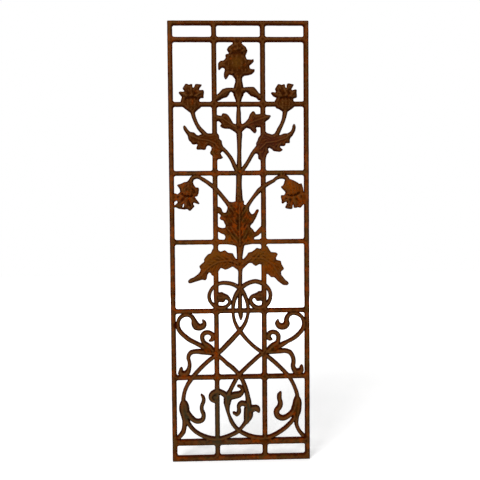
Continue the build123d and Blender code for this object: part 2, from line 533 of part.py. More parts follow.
with BuildPart() as cast_panel:
    add(lattice())
    add(ornament)

cast_panel.part.label = "cast_panel"

os.makedirs("parts", exist_ok=True)
export_step(cast_panel.part, "parts/cast_panel.step")
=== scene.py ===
"""The looks of a cast iron garden panel: thistles, leaves and scrolls, left to rust."""

import bpy
import numpy as np
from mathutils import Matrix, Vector, geometry
from mathutils.bvhtree import BVHTree
from mathutils.kdtree import KDTree


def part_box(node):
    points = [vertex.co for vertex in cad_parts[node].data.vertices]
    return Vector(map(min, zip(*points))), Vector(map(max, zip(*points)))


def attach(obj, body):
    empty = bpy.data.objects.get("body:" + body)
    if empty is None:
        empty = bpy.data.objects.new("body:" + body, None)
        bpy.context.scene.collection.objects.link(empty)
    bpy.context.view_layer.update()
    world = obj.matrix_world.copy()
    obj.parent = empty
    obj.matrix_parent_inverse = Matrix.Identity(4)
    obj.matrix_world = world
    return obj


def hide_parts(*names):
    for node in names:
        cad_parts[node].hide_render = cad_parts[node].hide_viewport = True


mm = 0.001

# The camera, where the photograph was taken from
camera_place = (-0.0538, -1.4518, 0.5349)
camera_turn = (1.52260, 0.00822, -0.03782)
camera_lens = 52.5
camera_sensor = 36.0
camera_clip = 0.01

# The room, in metres and watts
white = (1, 1, 1, 1)
room_light = 0.24
room_shown = 1.0
floor_half = 4.0
floor_color = (0.8, 0.8, 0.8, 1)
floor_glow = (0.5, 0.8)
floor_glow_reach = (0.5, 2.6)

# Each lamp: where it stands, what it points at, how wide it is, its power
lamps = {
    "key_lamp": ((-0.9, -1.9, 2.0), (0, 0, 0.5), 0.8, 54),
    "fill_lamp": ((1.6, -2.0, 0.9), (0, 0, 0.45), 1.6, 7),
    "rear_lamp": ((0.3, 2.6, 0.9), (0, 0, 0.5), 1.2, 26),
}

# The casting, in millimetres where nothing else is said

# The front's heights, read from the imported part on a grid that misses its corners
height_step = 1.0
grid_margin = 4
grid_shift_across, grid_shift_up = 0.013, 0.017
ray_start = 50
filling_rounds = 7
crest_softening = 1
least_height = 1.2

# The skin's points, and the outline that they fill
skin_step = 1.55
skin_row = 0.866
skin_gap = 0.6
outline_step = 1.3
outline_softening = 1
fewest_steps = 8
rust_swelling = 0.26
edge_rings = (0.45, 1.25)
ring_clearance = 0.9
edge_radius = 2.0
back_from_edge = 2.4
crest_blurring = 14

# How closely spots of the skin have to agree to be the same spot
spot_digits = 4
merging_distance = 1e-7
least_length = 1e-9
last_cell = 1.001

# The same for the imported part, which is in metres, and how squarely its back faces
solid_digits = 6
same_depth = 1e-5
facing_back = 0.9

# Random hills: how high, how wide, and which draw
noise_cells = 256
noise_origin = 500.0
unevenness = ((0.16, 9.0, 1), (0.12, 4.0, 2))
flaking = ((1.0, 2.6, 3),)
vein_wander = ((1.6, 14.0, 5), (0.8, 6.0, 6))
vein_boldness = ((0.5, 11.0, 7),)
flute_wander = ((0.8, 9.0, 8),)
rim_wander = ((0.8, 7.0, 9),)
raggedness = ((0.16, 7.0, 11),)
flake_depth, flake_threshold = 0.1, 0.2

# The relief that is carved starts just over the fronts of the bars
relief_floor, relief_fade = 5.6, 0.8

# A leaf: its midrib, the trough beside it, its side veins and their furrows
rib_height, rib_width = 1.2, 1.4
trough_depth, trough_width, trough_place = 0.9, 1.5, 3.2
vein_height, vein_width, vein_slant, vein_stagger = 1.2, 0.9, 1.5, 0.2
vein_start, vein_growth = 1.5, 4.5
furrow_depth, furrow_width, furrow_place = 1.2, 1.4, 0.22
mean_boldness, least_boldness, most_boldness = 0.75, 0.2, 1.2
blade_fade, full_blade, deepest_blade = 3, 20, 1.25

# A thistle: its bulb's scales and flutes, its rim and its petals, with places as shares of its size
head_reach, waist_reach, bulb_reach = 2.3, 1.15, 1.05
bulb_fade = 6
hem_depth, hem_width = 1.5, 1.5
scale_row, scales_across, rows_below, scale_point = 0.30, 7, 100, 0.9
scale_height, scale_curve, scale_taper, scale_sink = 1.3, 0.7, 1.2, 0.5
flute_height, flute_sink = 0.5, 0.2
rim_arch = 0.22
groove_depth, groove_width, groove_place = 2.3, 1.9, 0.92
lip_height, lip_width, lip_place = 1.2, 2.2, 1.24
petal_root, petal_start, petal_fade, petal_ridges = 0.2, 0.98, 2.5, 13
least_rise = 1e-3
ridge_height, ridge_sink, ridge_sway, ridge_sway_rate = 1.5, 0.6, 0.6, 0.5

# The lines that the ornament is carved along, across and up the panel

# Each leaf: how far its blade reaches from the rib, how far apart its side veins are, the rib
leaves = (
    (19, 9.0, ((-110.5, 697), (-99, 681), (-84, 673.5), (-64, 670.5), (-50, 665), (-42, 655))),
    (19, 9.0, ((114.5, 700), (108.5, 685), (96, 674.5), (76, 667.5), (56, 665), (44, 653))),
    (13, 7.5, ((-4, 696), (-20, 705.5), (-32, 714), (-44, 717))),
    (13, 7.5, ((4, 696), (20, 704), (38, 711.5), (60, 718.5))),
    (9, 7.0, ((-6, 773), (-24, 771), (-34, 765), (-45, 757))),
    (9, 7.0, ((6, 773), (24, 773), (34, 768), (45, 758))),
    (44, 13.0, ((0.5, 455), (-0.5, 490), (0, 537))),
    (21, 10.0, ((-4, 416), (-24, 423), (-46, 420), (-66, 408), (-80, 393), (-104, 380.5))),
    (21, 10.0, ((4, 415), (24, 427), (48, 427), (68, 414), (79, 395), (97, 373.5))),
    (8, 5.0, ((-47, 345), (-31, 346), (-24, 347.5))),
    (8, 5.0, ((47, 346), (31, 347), (23, 347.5))),
)

# Each thistle: the middle of its bulb, the way it grows, half its width, how far up the rim is
thistles = (
    ((-2.5, 824), (0.0, 1.0), 23.0, 26.0),
    ((-97.3, 743), (0.0, 1.0), 17.0, 15.5),
    ((97, 743), (0.0, 1.0), 17.0, 15.5),
    ((-106.0, 570), (-0.17, -0.985), 15.5, 14.5),
    ((109.5, 570), (0.17, -0.985), 16.5, 14.5),
)

# Where daylight shows between the petals of the left nodding thistle
petal_gaps = (
    ((-118.4, 533.6), (-116.6, 540.6), (-113.8, 540.6), (-115.2, 533.6)),
)


# The casting's front as a field of heights

def soft_noise(across, up, size, draw):
    """Smooth random hills about one size across, from -1 to 1, the same every time."""
    rng = np.random.default_rng(draw)
    u, v = across / size + noise_origin, up / size + noise_origin
    column, row = np.floor(u).astype(int), np.floor(v).astype(int)
    table = rng.uniform(-1, 1, (noise_cells, noise_cells))
    s, t = u - column, v - row
    s, t = s * s * (3 - 2 * s), t * t * (3 - 2 * t)
    left, right = column % noise_cells, (column + 1) % noise_cells
    lower, upper = row % noise_cells, (row + 1) % noise_cells
    near = table[left, lower] * (1 - s) + table[right, lower] * s
    far = table[left, upper] * (1 - s) + table[right, upper] * s
    return near * (1 - t) + far * t


def hills(across, up, kinds):
    """Random hills of one or more kinds, added up."""
    return sum(height * soft_noise(across, up, size, draw) for height, size, draw in kinds)


def blurred(field, times):
    """The field, smoothed over its neighbours a number of times."""
    for _ in range(times):
        wide = np.pad(field, 1, mode="edge")
        field = (
            4 * wide[1:-1, 1:-1]
            + 2 * (wide[2:, 1:-1] + wide[:-2, 1:-1] + wide[1:-1, 2:] + wide[1:-1, :-2])
            + wide[2:, 2:] + wide[2:, :-2] + wide[:-2, 2:] + wide[:-2, :-2]
        ) / 16
    return field


def hump(distance, width):
    """A round-topped ridge, 1 in the middle and nothing past a few widths."""
    return np.exp(-((distance / width) ** 2))


def read_heights(solid, low, high):
    """How far the front of the solid stands out on a grid, with the air beside it filled in."""
    tree = BVHTree.FromPolygons(
        [v.co for v in solid.data.vertices], [p.vertices for p in solid.data.polygons]
    )
    across = np.arange(
        low.x / mm - grid_margin + grid_shift_across, high.x / mm + grid_margin, height_step
    )
    up = np.arange(low.z / mm - grid_margin + grid_shift_up, high.z / mm + grid_margin, height_step)
    start, forward = low.y - ray_start * mm, Vector((0, 1, 0))
    proud = np.full((len(across), len(up)), np.nan)
    for i, x in enumerate(across * mm):
        for j, z in enumerate(up * mm):
            hit = tree.ray_cast(Vector((x, start, z)), forward)[0]
            if hit is not None:
                proud[i, j] = -hit.y / mm
    for _ in range(filling_rounds):
        empty = np.isnan(proud)
        if not empty.any():
            break
        wide = np.pad(proud, 1, constant_values=np.nan)
        known = ~np.isnan(wide)
        value = np.where(known, wide, 0)
        total, count = np.zeros_like(proud), np.zeros_like(proud)
        for a in (0, 1, 2):
            for b in (0, 1, 2):
                span = (slice(a, a + proud.shape[0]), slice(b, b + proud.shape[1]))
                total += value[span]
                count += known[span]
        fill = empty & (count > 0)
        proud[fill] = total[fill] / count[fill]
    proud[np.isnan(proud)] = 0
    return across, up, blurred(np.maximum(proud, least_height), crest_softening)


def on_relief(proud):
    """1 on the ornament and 0 on the bars and the air, with a soft change between them."""
    return np.clip((proud - relief_floor) / relief_fade, 0, 1)


def along_rib(rib, across, up):
    """For each point: how far along the rib it lies, how far off it, and on which side."""
    best = np.full(across.shape, np.inf)
    reach = np.zeros(across.shape)
    side = np.ones(across.shape)
    run = 0.0
    for (x0, z0), (x1, z1) in zip(rib[:-1], rib[1:]):
        dx, dz = x1 - x0, z1 - z0
        length = np.hypot(dx, dz)
        share = np.clip(((across - x0) * dx + (up - z0) * dz) / length**2, 0, 1)
        gap = np.hypot(across - x0 - dx * share, up - z0 - dz * share)
        nearer = gap < best
        best = np.where(nearer, gap, best)
        reach = np.where(nearer, run + share * length, reach)
        side = np.where(nearer, np.sign(dx * (up - z0) - dz * (across - x0)), side)
        run += length
    return reach, best, side


def carve_leaf(proud, across, up, blade, spacing, rib):
    """A leaf's midrib and its slanting side veins, with the blade cupped between them."""
    reach, off, side = along_rib(rib, across, up)
    on_leaf = on_relief(proud) * np.clip((blade + blade_fade - off) / blade_fade, 0, 1)
    wander = hills(across, up, vein_wander)
    vein = (reach + wander - off * vein_slant + side * spacing * vein_stagger) / spacing
    from_vein = np.abs(vein - np.round(vein)) * spacing / np.hypot(1, vein_slant)
    fade = np.clip((off - vein_start) / vein_growth, 0, 1)
    depth = min(blade / full_blade, deepest_blade)
    bold = np.clip(mean_boldness + hills(across, up, vein_boldness), least_boldness, most_boldness)
    trough = depth * hump(off - trough_place, trough_width)
    furrow = hump(from_vein - spacing * furrow_place, furrow_width)
    veins = vein_height * hump(from_vein, vein_width) - furrow_depth * furrow
    change = rib_height * hump(off, rib_width) - trough_depth * trough
    return proud + on_leaf * (change + fade * depth * bold * veins)


def carve_thistle(proud, across, up, middle, way, half_width, rim):
    """A thistle's bulb in rows of pointed scales, a hollow under the rim, and ridged petals."""
    off_x, off_z = across - middle[0], up - middle[1]
    height = off_x * way[0] + off_z * way[1]
    side = off_x * way[1] - off_z * way[0]
    near = on_relief(proud) * (np.hypot(off_x, off_z) < half_width * head_reach)

    bulge = 1 - (side / half_width) ** 2 - (height / (rim * bulb_reach)) ** 2
    on_bulb = near * np.clip(bulge * bulb_fade, 0, 1)
    hem = near * -hem_depth * hump(bulge * half_width / 2, hem_width)
    turn = np.arcsin(np.clip(side / half_width, -1, 1)) / (np.pi / scales_across)
    row = height / (half_width * scale_row)
    shifted = turn + 0.5 * (np.floor(row + rows_below) % 2)
    from_middle = np.abs(shifted - np.round(shifted))
    step = row - scale_point * from_middle
    rise = step - np.floor(step)
    scales = scale_height * (1 - rise) ** scale_curve * (1 - scale_taper * from_middle) - scale_sink
    flutes = np.cos(turn * 2 * np.pi + hills(across, up, flute_wander))
    scales += flute_height * flutes - flute_sink

    spread = np.arctan2(side, np.maximum(height + half_width * petal_root, least_rise))
    beyond = near * np.clip((height - rim * petal_start) / petal_fade, 0, 1)
    sway = ridge_sway * np.sin(height * ridge_sway_rate)
    ridges = ridge_height * np.cos(spread * petal_ridges + sway) - ridge_sink

    arched = height + rim_arch * side**2 / half_width + hills(across, up, rim_wander)
    groove = -groove_depth * hump(arched - rim * groove_place, groove_width)
    groove += lip_height * hump(arched - rim * lip_place, lip_width)
    waist = near * (np.abs(side) < half_width * waist_reach)
    return proud + on_bulb * scales + hem + beyond * ridges + waist * groove


def carved_heights(across, up, proud):
    """The front with its carving, and the unevenness of a rusty casting."""
    x, z = np.meshgrid(across, up, indexing="ij")
    for blade, spacing, rib in leaves:
        proud = carve_leaf(proud, x, z, blade, spacing, rib)
    for thistle in thistles:
        proud = carve_thistle(proud, x, z, *thistle)
    uneven = hills(x, z, unevenness)
    flakes = flake_depth * np.clip(hills(x, z, flaking) - flake_threshold, 0, 1)
    return proud + uneven - flakes


# The outline, softened as a sand mould leaves it

def outline_loops(solid, back):
    """The edges of the flat back, as closed loops with the metal on their left."""
    keys, found = {}, []
    for vertex in solid.data.vertices:
        place = vertex.co
        spot = tuple(round(value, solid_digits) for value in (place.x, place.z, place.y))
        found.append(keys.setdefault(spot, len(keys)))
    spots = list(keys)
    edges = set()
    for face in solid.data.polygons:
        corners = [found[v] for v in face.vertices]
        flat = all(abs(spots[c][2] - back) < same_depth for c in corners)
        if face.normal.y > facing_back and flat:
            corners.reverse()
            edges.update(zip(corners, corners[1:] + corners[:1]))
    following = {}
    for a, b in edges:
        if (b, a) not in edges:
            following.setdefault(a, []).append(b)
    loops = []
    while following:
        loop, here = [], next(iter(following))
        while here in following:
            loop.append(spots[here][:2])
            onward = following[here]
            after = onward.pop()
            if not onward:
                del following[here]
            here = after
        loops.append(np.array(loop) / mm)
    return loops


def inward(line):
    """The way into the metal at each point of a loop."""
    along = np.roll(line, -1, 0) - np.roll(line, 1, 0)
    along /= np.maximum(np.hypot(*along.T), least_length)[:, None]
    return np.column_stack([-along[:, 1], along[:, 0]])


def softened(loop):
    """A loop with even steps, swollen by rust, its corners eased and its line slightly uneven."""
    closed = np.vstack([loop, loop[:1]])
    run = np.concatenate([[0], np.cumsum(np.hypot(*np.diff(closed, axis=0).T))])
    count = max(int(run[-1] / outline_step), fewest_steps)
    stops = np.linspace(0, run[-1], count, endpoint=False)
    line = np.column_stack([np.interp(stops, run, closed[:, k]) for k in (0, 1)])
    for _ in range(outline_softening):
        line = line / 2 + (np.roll(line, 1, 0) + np.roll(line, -1, 0)) / 4
    inset = hills(line[:, 0], line[:, 1], raggedness) - rust_swelling
    line = line + inward(line) * inset[:, None]
    line[:, 1] = np.maximum(line[:, 1], 0)
    return line


def outline_edges(loops):
    """The edges along all the loops, as pairs of point numbers."""
    edges, start = [], 0
    for loop in loops:
        count = len(loop)
        edges += [(start + k, start + (k + 1) % count) for k in range(count)]
        start += count
    return edges


# The skin

def metal_faces(points, outline, filling):
    """Triangles over the metal: the points they use, their corners, and the outline's edges."""
    spots = [tuple(p) for p in np.vstack([points, filling])]
    corners, edges, faces, _, whence, _ = geometry.delaunay_2d_cdt(
        spots, outline, [], 0, merging_distance
    )
    corners = np.array([tuple(c) for c in corners])
    border = set()
    for (a, b), sources in zip(edges, whence):
        for source in sources:
            if source < len(outline):
                start, end = (np.array(spots[k]) for k in outline[source])
                ahead = np.dot(corners[b] - corners[a], end - start) > 0
                border.add((a, b) if ahead else (b, a))
    beside = {}
    for number, face in enumerate(faces):
        for a, b in zip(face, face[1:] + face[:1]):
            beside[a, b] = number
    kept = {beside[edge] for edge in border if edge in beside}
    waiting = list(kept)
    while waiting:
        face = faces[waiting.pop()]
        for a, b in zip(face, face[1:] + face[:1]):
            other = beside.get((b, a))
            if (a, b) not in border and other is not None and other not in kept:
                kept.add(other)
                waiting.append(other)
    border = {e for e in border if beside.get(e) in kept and beside.get(e[::-1]) not in kept}
    return corners, [faces[k] for k in sorted(kept)], sorted(border)


def bilinear(field, across, up, points):
    """The field's value at each point."""
    u = np.clip((points[:, 0] - across[0]) / height_step, 0, len(across) - last_cell)
    v = np.clip((points[:, 1] - up[0]) / height_step, 0, len(up) - last_cell)
    i, j = u.astype(int), v.astype(int)
    s, t = u - i, v - j
    near = field[i, j] * (1 - s) + field[i + 1, j] * s
    far = field[i, j + 1] * (1 - s) + field[i + 1, j + 1] * s
    return near * (1 - t) + far * t


def skin_points(loops, low, high):
    """Points for the front: rings just inside the outline, then an even field of them."""
    rim = np.vstack(loops)
    tree = KDTree(len(rim))
    for number, (x, z) in enumerate(rim):
        tree.insert((x, z, 0), number)
    tree.balance()
    ways_in = np.vstack([inward(loop) for loop in loops])
    filling = []
    for inset in edge_rings:
        for loop in loops:
            for x, z in loop + inward(loop) * inset:
                if tree.find((x, z, 0))[2] > inset * ring_clearance:
                    filling.append((x, z))
    gap = edge_rings[-1] + skin_step * skin_gap
    rows = np.arange(low.z / mm, high.z / mm, skin_step * skin_row)
    for number, z in enumerate(rows):
        shift = skin_step / 2 * (number % 2)
        for x in np.arange(low.x / mm + shift, high.x / mm, skin_step):
            spot, nearest, distance = tree.find((x, z, 0))
            if distance > gap:
                way_in = ways_in[nearest]
                if (x - spot[0]) * way_in[0] + (z - spot[1]) * way_in[1] > 0:
                    filling.append((x, z))
    return rim, tree, np.array(filling)


def depth_inside(points, rim, loops, tree):
    """How far each point lies inside the outline."""
    before, after, start = [], [], 0
    for loop in loops:
        numbers = np.arange(start, start + len(loop))
        before.append(np.roll(numbers, 1))
        after.append(np.roll(numbers, -1))
        start += len(loop)
    before, after = np.concatenate(before), np.concatenate(after)
    nearest = np.array([tree.find((x, z, 0))[1] for x, z in points])
    best = np.full(len(points), np.inf)
    for other in (before, after):
        a, b = rim[nearest], rim[other[nearest]]
        span = b - a
        share = np.clip(((points - a) * span).sum(1) / (span**2).sum(1), 0, 1)
        best = np.minimum(best, np.hypot(*(points - a - span * share[:, None]).T))
    return best


def spot_key(spot):
    """A spot with its last digits dropped, by which the front and the back find each other."""
    return tuple(np.round(spot, spot_digits))


def crisp_back(mesh, back_edges):
    """The edge around the flat back stays sharp under the smooth shading."""
    ends = np.zeros(len(mesh.edges) * 2, int)
    mesh.edges.foreach_get("vertices", ends)
    sharp = mesh.attributes.new("sharp_edge", "BOOLEAN", "EDGE")
    sharp.data.foreach_set(
        "value", [frozenset(pair) in back_edges for pair in ends.reshape(-1, 2).tolist()]
    )


def cast_skin(solid):
    """The whole casting as one closed mesh, rounded, carved and uneven."""
    low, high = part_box(solid.name)
    across, up, plain = read_heights(solid, low, high)
    proud = carved_heights(across, up, plain)
    crests = proud - blurred(proud, crest_blurring)
    edges = outline_loops(solid, high.y) + [np.array(gap) for gap in petal_gaps]
    loops = [softened(loop) for loop in edges]
    outline = outline_edges(loops)
    rim, tree, filling = skin_points(loops, low, high)

    spots, front, border = metal_faces(rim, outline, filling)
    inside = depth_inside(spots, rim, loops, tree)
    fall = np.clip(edge_radius - inside, 0, edge_radius)
    eased = edge_radius - np.sqrt(edge_radius**2 - fall**2)
    heights = bilinear(proud, across, up, spots) - eased
    points = [(x, -h, z) for (x, z), h in zip(spots, heights)]
    faces = [tuple(f) for f in front]

    count = len(points)
    back_spots, back, back_border = metal_faces(rim, outline, np.zeros((0, 2)))
    points += [(x, high.y / mm, z) for x, z in back_spots]
    faces += [tuple(k + count for k in reversed(f)) for f in back]
    partner = {spot_key(spot): k + count for k, spot in enumerate(back_spots)}
    walls = []
    for a, b in border:
        pair = [partner.get(spot_key(spots[k])) for k in (a, b)]
        if None not in pair:
            walls.append((b, a, pair[0], pair[1]))
    faces += walls
    print("casting: front", len(front), "back", len(back), "walls", len(walls), "of", len(border))

    mesh = bpy.data.meshes.new("cast_panel_skin")
    mesh.from_pydata([(x * mm, y * mm, z * mm) for x, y, z in points], [], faces)
    # The crest and the distance in from the edge, which the material turns into painted highlight
    # and painted shade
    crest = np.concatenate([bilinear(crests, across, up, spots), np.zeros(len(back_spots))])
    edge = np.concatenate([inside, np.full(len(back_spots), back_from_edge)])
    for name, values in (("crest", crest), ("from_edge", edge)):
        layer = mesh.attributes.new(name, "FLOAT", "POINT")
        layer.data.foreach_set("value", values.astype(np.float32))
    mesh.polygons.foreach_set("use_smooth", [True] * len(faces))
    mesh.polygons.foreach_set(
        "material_index", [0] * len(front) + [1] * len(back) + [0] * len(walls)
    )
    mesh.update()
    crisp_back(
        mesh,
        {frozenset(partner[spot_key(back_spots[k])] for k in pair) for pair in back_border},
    )
    return mesh


# Materials

class Tree:
    """Short ways to place and join nodes in one node tree."""

    def __init__(self, tree):
        self.tree = tree

    def node(self, kind, **settings):
        """A new node with its settings."""
        made = self.tree.nodes.new(kind)
        for name, value in settings.items():
            setattr(made, name, value)
        return made

    def join(self, source, target):
        """A link from an output to an input."""
        self.tree.links.new(source, target)

    def feed(self, value, socket):
        """Sets a number or a colour on the socket, or joins an output to it."""
        if isinstance(value, (int, float, tuple)):
            socket.default_value = value
        else:
            self.join(value, socket)

    def noise(self, coordinates, scale, detail=3.0, roughness=0.55, distortion=0.0):
        """Cloudy noise, around a half."""
        made = self.node("ShaderNodeTexNoise")
        for name, value in (
            ("Vector", coordinates), ("Scale", scale), ("Detail", detail),
            ("Roughness", roughness), ("Distortion", distortion),
        ):
            self.feed(value, made.inputs[name])
        return made.outputs["Fac"]

    def spread(self, value, low, high, new_low=0.0, new_high=1.0):
        """The value carried smoothly from one range to another."""
        made = self.node("ShaderNodeMapRange", interpolation_type="SMOOTHSTEP")
        for name, number in (
            ("Value", value), ("From Min", low), ("From Max", high),
            ("To Min", new_low), ("To Max", new_high),
        ):
            self.feed(number, made.inputs[name])
        return made.outputs["Result"]

    def math(self, operation, first, second):
        """One sum on two values."""
        made = self.node("ShaderNodeMath", operation=operation)
        self.feed(first, made.inputs[0])
        self.feed(second, made.inputs[1])
        return made.outputs["Value"]

    def mix(self, share, first, second):
        """A share of the second colour over the first."""
        made = self.node("ShaderNodeMix", data_type="RGBA")
        for name, kind, value in (
            ("Factor", "VALUE", share), ("A", "RGBA", first), ("B", "RGBA", second)
        ):
            self.feed(value, next(s for s in made.inputs if s.name == name and s.type == kind))
        return next(s for s in made.outputs if s.type == "RGBA")


def shade(red, green, blue):
    """A colour as it looks on screen, 0 to 255, made linear."""
    linear = [
        c / 12.92 if c <= 0.04045 else ((c + 0.055) / 1.055) ** 2.4
        for c in (red / 255, green / 255, blue / 255)
    ]
    return (*linear, 1.0)


# How the rust's patterns, its painted shade and its painted highlights are sized and mixed
olive_size, old_scale_size, fine_bloom_size = 0.7, 1.9, 2.4
fine_bloom_share, old_scale_share = 0.5, 0.7
streak_scale = 90.0
breakup_scale, breakup_on_crests = 170.0, 0.8
# How strongly the crests get rubbed wear with a painted highlight, the bars' middles a painted
# highlight, and the hollows and rims painted shade
rubbed_highlight_share, bar_highlight_share, hollow_shade_share, rim_shade_share = 0.7, 0.62, 0.88, 0.9
pit_size, pit_depth = 0.6, 0.6
specular_level = 0.02
bump_strength = 0.6

# How deep the grain of the rust is, in metres
front_bump, back_bump = 0.0006, 0.0008

# The back's own rust
back_rust = {
    "Ground": shade(84, 48, 18),
    "Bloom": shade(108, 52, 12),
    "Olive": shade(80, 58, 28),
    "Old Scale": shade(52, 24, 8),
    "Patch Size": 35.0,
}

# What weather turns the rust to
dark_rust = shade(62, 27, 1)
plum_rust = shade(64, 27, 14)
brown_rust = shade(60, 36, 16)
olive_rust = shade(91, 57, 11)
orange_rust = shade(121, 58, 2)
rain_grey = shade(55, 51, 33)

# Where the weather has turned it and how far around, in metres, how strongly, and to what
weathered_places = (
    ((0.0, 0.0, 0.86), 0.19, 1.0, dark_rust),
    ((-0.08, 0.0, 0.72), 0.12, 0.9, dark_rust),
    ((0.1, 0.0, 0.74), 0.1, 0.9, dark_rust),
    ((0.045, 0.0, 0.665), 0.075, 0.9, plum_rust),
    ((0.0, 0.0, 0.345), 0.07, 0.8, brown_rust),
    # The olive patch in the middle of the top thistle's bulb is partly rust colour and partly a
    # painted highlight
    ((-0.003, 0.0, 0.828), 0.02, 0.9, olive_rust),
    ((-0.05, 0.0, 0.425), 0.085, 0.6, orange_rust),
    ((0.06, 0.0, 0.42), 0.08, 0.6, orange_rust),
    ((0.112, 0.0, 0.57), 0.042, 0.6, orange_rust),
    ((-0.06, 0.0, 0.43), 0.035, 0.6, olive_rust),
    ((0.045, 0.0, 0.435), 0.035, 0.6, olive_rust),
    ((-0.085, 0.0, 0.1), 0.062, 1.0, rain_grey),
    ((0.0, 0.0, 0.115), 0.062, 1.0, rain_grey),
    ((-0.045, 0.0, 0.07), 0.08, 0.9, rain_grey),
    ((-0.04, 0.0, 0.135), 0.04, 0.9, rain_grey),
)


def new_group(name, inputs, outputs):
    """A shader node group with named sockets."""
    group = bpy.data.node_groups.new(name, "ShaderNodeTree")
    for label, kind, value in inputs:
        socket = group.interface.new_socket(label, in_out="INPUT", socket_type=kind)
        if value is not None:
            socket.default_value = value
    for label, kind in outputs:
        group.interface.new_socket(label, in_out="OUTPUT", socket_type=kind)
    tree = Tree(group)
    return group, tree, tree.node("NodeGroupInput").outputs, tree.node("NodeGroupOutput").inputs


def rust_bloom_group():
    """Rust in drifting patches: a brown ground, orange blooms and dark old scale."""
    group, tree, given, out = new_group(
        "rust_bloom",
        [
            ("Position", "NodeSocketVector", None),
            ("Ground", "NodeSocketColor", shade(80, 36, 2)),
            ("Bloom", "NodeSocketColor", shade(122, 49, 0)),
            ("Olive", "NodeSocketColor", shade(72, 46, 7)),
            ("Old Scale", "NodeSocketColor", shade(40, 10, 0)),
            ("Patch Size", "NodeSocketFloat", 55.0),
        ],
        [("Color", "NodeSocketColor")],
    )
    position, size = given["Position"], given["Patch Size"]
    wide = tree.noise(position, size, roughness=0.5, distortion=0.6)
    fine = tree.noise(position, tree.math("MULTIPLY", size, fine_bloom_size), roughness=0.5)
    olive = tree.noise(position, tree.math("MULTIPLY", size, olive_size), roughness=0.6)
    scale = tree.noise(position, tree.math("MULTIPLY", size, old_scale_size))
    both = tree.math("ADD", wide, tree.math("MULTIPLY", fine, fine_bloom_share))
    old = tree.math("MULTIPLY", tree.spread(scale, low=0.46, high=0.6), old_scale_share)
    color = tree.mix(tree.spread(olive, low=0.47, high=0.6), given["Ground"], given["Olive"])
    color = tree.mix(tree.spread(both, low=0.7, high=0.86), color, given["Bloom"])
    tree.join(tree.mix(old, color, given["Old Scale"]), out["Color"])
    return group


def weathered_patch_group():
    """How far the weather has turned the rust around one place, broken up into streaks."""
    group, tree, given, out = new_group(
        "weathered_patch",
        [
            ("Position", "NodeSocketVector", None),
            ("Place", "NodeSocketVector", (0.0, 0.0, 0.1)),
            ("Reach", "NodeSocketFloat", 0.06),
            ("Strength", "NodeSocketFloat", 1.0),
        ],
        [("Mask", "NodeSocketFloat")],
    )
    away = tree.node("ShaderNodeVectorMath", operation="DISTANCE")
    tree.join(given["Position"], away.inputs[0])
    tree.join(given["Place"], away.inputs[1])
    share = tree.math("DIVIDE", away.outputs["Value"], given["Reach"])
    noise = tree.noise(given["Position"], streak_scale, detail=4.0, roughness=0.6, distortion=0.6)
    near, streaks = tree.spread(share, low=1.0, high=0.35), tree.spread(noise, low=0.27, high=0.5)
    mask = tree.math("MULTIPLY", tree.math("MULTIPLY", near, streaks), given["Strength"])
    tree.join(mask, out["Mask"])
    return group


def cast_relief_group():
    """Crests turn grey-brown as rubbed rust and partly as a painted highlight, a painted highlight
    runs down the middle of the bars, and hollows and rims get dark red painted shade.
    """
    group, tree, given, out = new_group(
        "cast_relief",
        [
            ("Color", "NodeSocketColor", None),
            ("Crest", "NodeSocketFloat", 0.0),
            ("From Edge", "NodeSocketFloat", 0.0),
            ("Breakup", "NodeSocketFloat", 0.5),
            ("Rubbed And Highlight", "NodeSocketColor", shade(95, 59, 27)),
            ("Hollow Shade", "NodeSocketColor", shade(40, 11, 1)),
            ("Rim Shade", "NodeSocketColor", shade(62, 12, 0)),
        ],
        [("Color", "NodeSocketColor")],
    )
    crest, from_edge, breakup = given["Crest"], given["From Edge"], given["Breakup"]
    # Rubbed wear and painted highlight: the crests of the carving turn grey-brown
    uneven = tree.math("ADD", crest, tree.math("MULTIPLY", breakup, breakup_on_crests))
    rubbed_and_highlight = tree.spread(uneven, low=0.55, high=1.6)
    # Painted shade: the hollows of the carving turn dark red
    hollow = tree.spread(crest, low=-0.1, high=-1.1)
    # Painted shade: a dark red band along every edge, where the rounded sides turn away from the
    # light
    rim = tree.spread(from_edge, low=2.6, high=0.4)
    # Painted highlight: a broken grey-brown band about 3 to 6 mm in from every edge, down the
    # middle of the bars
    inner = tree.spread(from_edge, low=2.4, high=4.4)
    outer = tree.spread(from_edge, low=7.5, high=5.0)
    broken = tree.spread(breakup, low=0.28, high=0.55)
    bar_middle_highlight = tree.math("MULTIPLY", tree.math("MULTIPLY", inner, outer), broken)
    color = given["Color"]
    for mask, strength, label in (
        (rubbed_and_highlight, rubbed_highlight_share, "Rubbed And Highlight"),
        (bar_middle_highlight, bar_highlight_share, "Rubbed And Highlight"),
        (hollow, hollow_shade_share, "Hollow Shade"),
        (rim, rim_shade_share, "Rim Shade"),
    ):
        color = tree.mix(tree.math("MULTIPLY", mask, strength), color, given[label])
    tree.join(color, out["Color"])
    return group


def pitted_skin_group():
    """The fine grain of rust: pits and flakes as a height, and how rough they leave it."""
    group, tree, given, out = new_group(
        "pitted_skin",
        [("Position", "NodeSocketVector", None), ("Grain", "NodeSocketFloat", 700.0)],
        [("Height", "NodeSocketFloat"), ("Roughness", "NodeSocketFloat")],
    )
    position, grain = given["Position"], given["Grain"]
    fine = tree.noise(position, grain, detail=4.0, roughness=0.65)
    pits = tree.node("ShaderNodeTexVoronoi", feature="F1")
    tree.join(position, pits.inputs["Vector"])
    tree.join(tree.math("MULTIPLY", grain, pit_size), pits.inputs["Scale"])
    pitted = tree.spread(pits.outputs["Distance"], low=0.05, high=0.45)
    tree.join(tree.math("ADD", fine, tree.math("MULTIPLY", pitted, pit_depth)), out["Height"])
    rough = tree.spread(fine, low=0.3, high=0.7, new_low=0.62, new_high=0.88)
    tree.join(rough, out["Roughness"])
    return group


